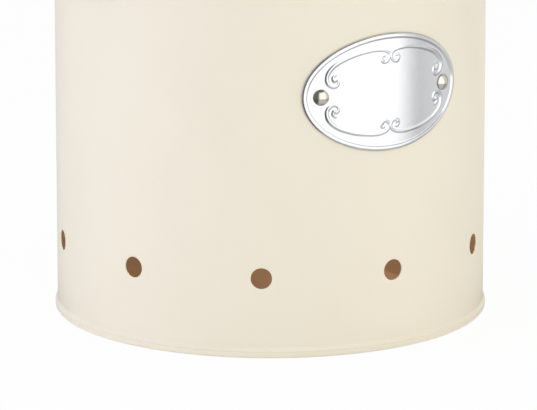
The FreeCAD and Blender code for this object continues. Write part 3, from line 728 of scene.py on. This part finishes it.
# White card on the table: it takes the tin's soft shadow, and shows white to the camera and in metal.
white_floor = bpy.data.materials.new("white_floor")
white_floor.use_nodes = True
tree = white_floor.node_tree
tree.nodes.clear()
floor_lift = 0.94
floor_half = 6
ray = add_node(tree, "ShaderNodeLightPath").outputs
plain = add_node(tree, "ShaderNodeBsdfDiffuse", {"Color": linear("#F8F8F6")})
glow = add_node(tree, "ShaderNodeEmission", {"Color": white, "Strength": 1.0})
seen = add_node(tree, "ShaderNodeMath", {0: ray["Is Camera Ray"], 1: ray["Is Glossy Ray"]}, operation="ADD")
seen = add_node(tree, "ShaderNodeMath", {0: seen.outputs[0], 1: ray["Is Transmission Ray"]}, operation="ADD")
share = add_node(tree, "ShaderNodeMath", {0: seen.outputs[0], 1: floor_lift}, operation="MULTIPLY",
                 use_clamp=True)
mixed = add_node(tree, "ShaderNodeMixShader", {0: share.outputs[0], 1: plain.outputs[0], 2: glow.outputs[0]})
add_node(tree, "ShaderNodeOutputMaterial", {"Surface": mixed.outputs[0]})
bm = bmesh.new()
bmesh.ops.create_grid(bm, x_segments=8, y_segments=8, size=floor_half)
stage_piece(bm, "floor", white_floor)

world = bpy.data.worlds.new("studio")
scene.world = world
world.use_nodes = True
tree = world.node_tree
tree.nodes.clear()
fill_level = 0.77
ray = add_node(tree, "ShaderNodeLightPath").outputs
surround = add_node(tree, "ShaderNodeBackground", {"Color": white, "Strength": 1.0})
fill = add_node(tree, "ShaderNodeBackground", {"Color": white, "Strength": fill_level})
seen = add_node(tree, "ShaderNodeMath", {0: ray["Is Camera Ray"], 1: ray["Is Glossy Ray"]}, operation="ADD")
seen = add_node(tree, "ShaderNodeMath", {0: seen.outputs[0], 1: ray["Is Transmission Ray"]}, operation="ADD",
                use_clamp=True)
mixed = add_node(tree, "ShaderNodeMixShader", {0: seen.outputs[0], 1: fill.outputs[0],
                                               2: surround.outputs[0]})
add_node(tree, "ShaderNodeOutputWorld", {"Surface": mixed.outputs[0]})

# Cards that only gloss sees stand round the tin, lie on the floor, and hang over it with an opening above the
# lid: dark left of the camera, bright right of it, then grey. Near the tin's foot the lying cards glow less,
# as painted shade for the tin's shadow round its foot. Each row is degrees to the right of the camera, the
# standing level and the lying level.
card_levels = [
    (-180, 0.44, 0.40), (-125, 0.36, 0.34), (-100, 0.24, 0.26), (-70, 0.14, 0.10), (-12, 0.12, 0.08),
    (4, 0.95, 0.44), (10, 1.00, 0.46), (62, 1.00, 0.46), (74, 0.49, 0.24), (78, 0.49, 0.24), (82, 0.55, 0.28),
    (92, 0.60, 0.36), (104, 0.52, 0.40), (112, 0.30, 0.36), (128, 0.36, 0.44), (140, 0.66, 0.56),
    (165, 0.76, 0.56), (180, 0.44, 0.40),
]
card_level = 1.4
hanging_level = 0.15
card_radius = 0.5
card_top = 0.7
card_opening = 0.13
card_inner = 0.1225
card_rise = 0.0006
# Painted shade near the foot: the cards glow at this share at their inner edge, full from foot_shade_end on.
foot_shade = 0.2
foot_shade_end = 0.17
card_edge = 0.005
card_steps = 96
card_paper = bpy.data.materials.new("card_paper")
card_paper.use_nodes = True
tree = card_paper.node_tree
tree.nodes.clear()
spot = add_node(tree, "ShaderNodeTexCoord").outputs["Object"]
faced = add_node(tree, "ShaderNodeMapping", {"Vector": spot, "Rotation": (0, 0, -view_turn)}).outputs[0]
axes = add_node(tree, "ShaderNodeSeparateXYZ", {"Vector": faced}).outputs
ahead = add_node(tree, "ShaderNodeMath", {0: axes["Y"], 1: -1.0}, operation="MULTIPLY")
around = add_node(tree, "ShaderNodeMath", {0: axes["X"], 1: ahead.outputs[0]}, operation="ARCTAN2")
spread = add_node(tree, "ShaderNodeMapRange", {"Value": around.outputs[0], "From Min": -math.pi,
                                               "From Max": math.pi})
standing = add_node(tree, "ShaderNodeValToRGB", {"Fac": spread.outputs[0]})
lying = add_node(tree, "ShaderNodeValToRGB", {"Fac": spread.outputs[0]})
for column, ramp in ((1, standing), (2, lying)):
    stops = ramp.color_ramp.elements
    for number, row in enumerate(card_levels):
        share = (row[0] + 180) / 360
        stop = stops[0] if number == 0 else stops[-1] if number == len(card_levels) - 1 else stops.new(share)
        stop.position = share
        stop.color = (row[column], row[column], row[column], 1)
raised = add_node(tree, "ShaderNodeMath", {0: axes["Z"], 1: 2 * card_rise}, operation="GREATER_THAN")
hung = add_node(tree, "ShaderNodeMath", {0: axes["Z"], 1: card_top - card_edge}, operation="GREATER_THAN")
level = add_node(tree, "ShaderNodeMix", {0: raised.outputs[0], 6: lying.outputs[0], 7: standing.outputs[0]},
                 data_type="RGBA")
level = add_node(tree, "ShaderNodeMix", {0: hung.outputs[0], 6: level.outputs[2],
                                         7: (hanging_level, hanging_level, hanging_level, 1)},
                 data_type="RGBA")
# Painted shade: the cards' glow is dimmed near the tin's axis, darkest right at the tin's foot.
distance = add_node(tree, "ShaderNodeVectorMath", {0: faced}, operation="LENGTH")
strength = add_node(tree, "ShaderNodeMapRange", {
    "Value": distance.outputs["Value"], "From Min": card_inner, "From Max": foot_shade_end,
    "To Min": card_level * foot_shade, "To Max": card_level})
paper = add_node(tree, "ShaderNodeEmission", {"Color": level.outputs[2], "Strength": strength.outputs[0]})
add_node(tree, "ShaderNodeOutputMaterial", {"Surface": paper.outputs[0]})
bm = bmesh.new()
draw_section(bm, [(card_inner, card_rise), (card_radius, card_rise), (card_radius, card_top),
                  (card_opening, card_top)])
spin_section(bm, card_steps)
cards = stage_piece(bm, "cards", card_paper)
cards.visible_camera = False
cards.visible_diffuse = False
cards.visible_transmission = False
cards.visible_shadow = False


def in_studio(ahead, right, up):
    """A place in metres from the middle of the foot: towards the camera, to its right, and up."""
    return toward_camera * ahead + camera_right * right + Vector((0, 0, up))


def soft_lamp(name, place, target, width, height, watts, colour):
    """A soft box that faces a target and shows in no reflection."""
    lamp = bpy.data.lights.new(name, "AREA")
    lamp.shape = "RECTANGLE"
    lamp.size = width
    lamp.size_y = height
    lamp.energy = watts
    lamp.color = linear(colour)[:3]
    holder = bpy.data.objects.new(name, lamp)
    holder.location = place
    holder.rotation_euler = (target - place).to_track_quat("-Z", "Y").to_euler()
    holder.visible_glossy = False
    holder.visible_camera = False
    scene.collection.objects.link(holder)


# Two soft boxes stand left and right of the camera, two low strips lift the foot, and three lamps inside show
# the lacquer through the vents. Each row is a lamp's place and its target, both in metres towards the camera,
# to its right and up, then its width, height, watts and colour.
lamps = {
    "left_box": ((0.8, -1.95, 0.9), (0, 0, 0.12), 1.2, 1.2, 16.8, "#CED8FF"),
    "right_box": ((0.6, 1.9, 0.9), (0, 0, 0.12), 1.2, 1.2, 3.9, "#F4F8FF"),
    "low_left_strip": ((0.40, -0.47, 0.035), (0, 0, 0.02), 0.8, 0.06, 0.27, "#EEF3FF"),
    "low_right_strip": ((0.36, 0.44, 0.035), (0, 0, 0.02), 0.8, 0.06, 0.42, "#EEF3FF"),
    "inside_lamp": ((-0.03, 0, 0.238), (-0.03, 0, 0.02), 0.11, 0.11, 0.205, "#FFFFFF"),
    "inside_left_lamp": ((-0.03, 0.01, 0.11), (-0.03, -1, 0.11), 0.1, 0.1, 0.185, "#FFFFFF"),
    "inside_right_lamp": ((-0.03, -0.01, 0.11), (-0.03, 1, 0.11), 0.1, 0.1, 0.228, "#FFFFFF"),
}
for name, (place, target, *box) in lamps.items():
    soft_lamp(name, in_studio(*place), in_studio(*target), *box)

camera_distance = 2.5
camera_height = 0.6515
camera_pitch = math.radians(13.385)
image_width = 537
pixels_to_focus = 4564.2
pan_pixels = 1.83
pan = pan_pixels / pixels_to_focus
lens = bpy.data.cameras.new("camera")
lens.sensor_width = 36
lens.lens = pixels_to_focus / image_width * lens.sensor_width
lens.clip_end = 100
camera = bpy.data.objects.new("camera", lens)
camera.location = in_studio(camera_distance, 0, camera_height)
camera.rotation_euler = (math.pi / 2 - camera_pitch, 0, view_turn + pan)
scene.collection.objects.link(camera)
scene.camera = camera
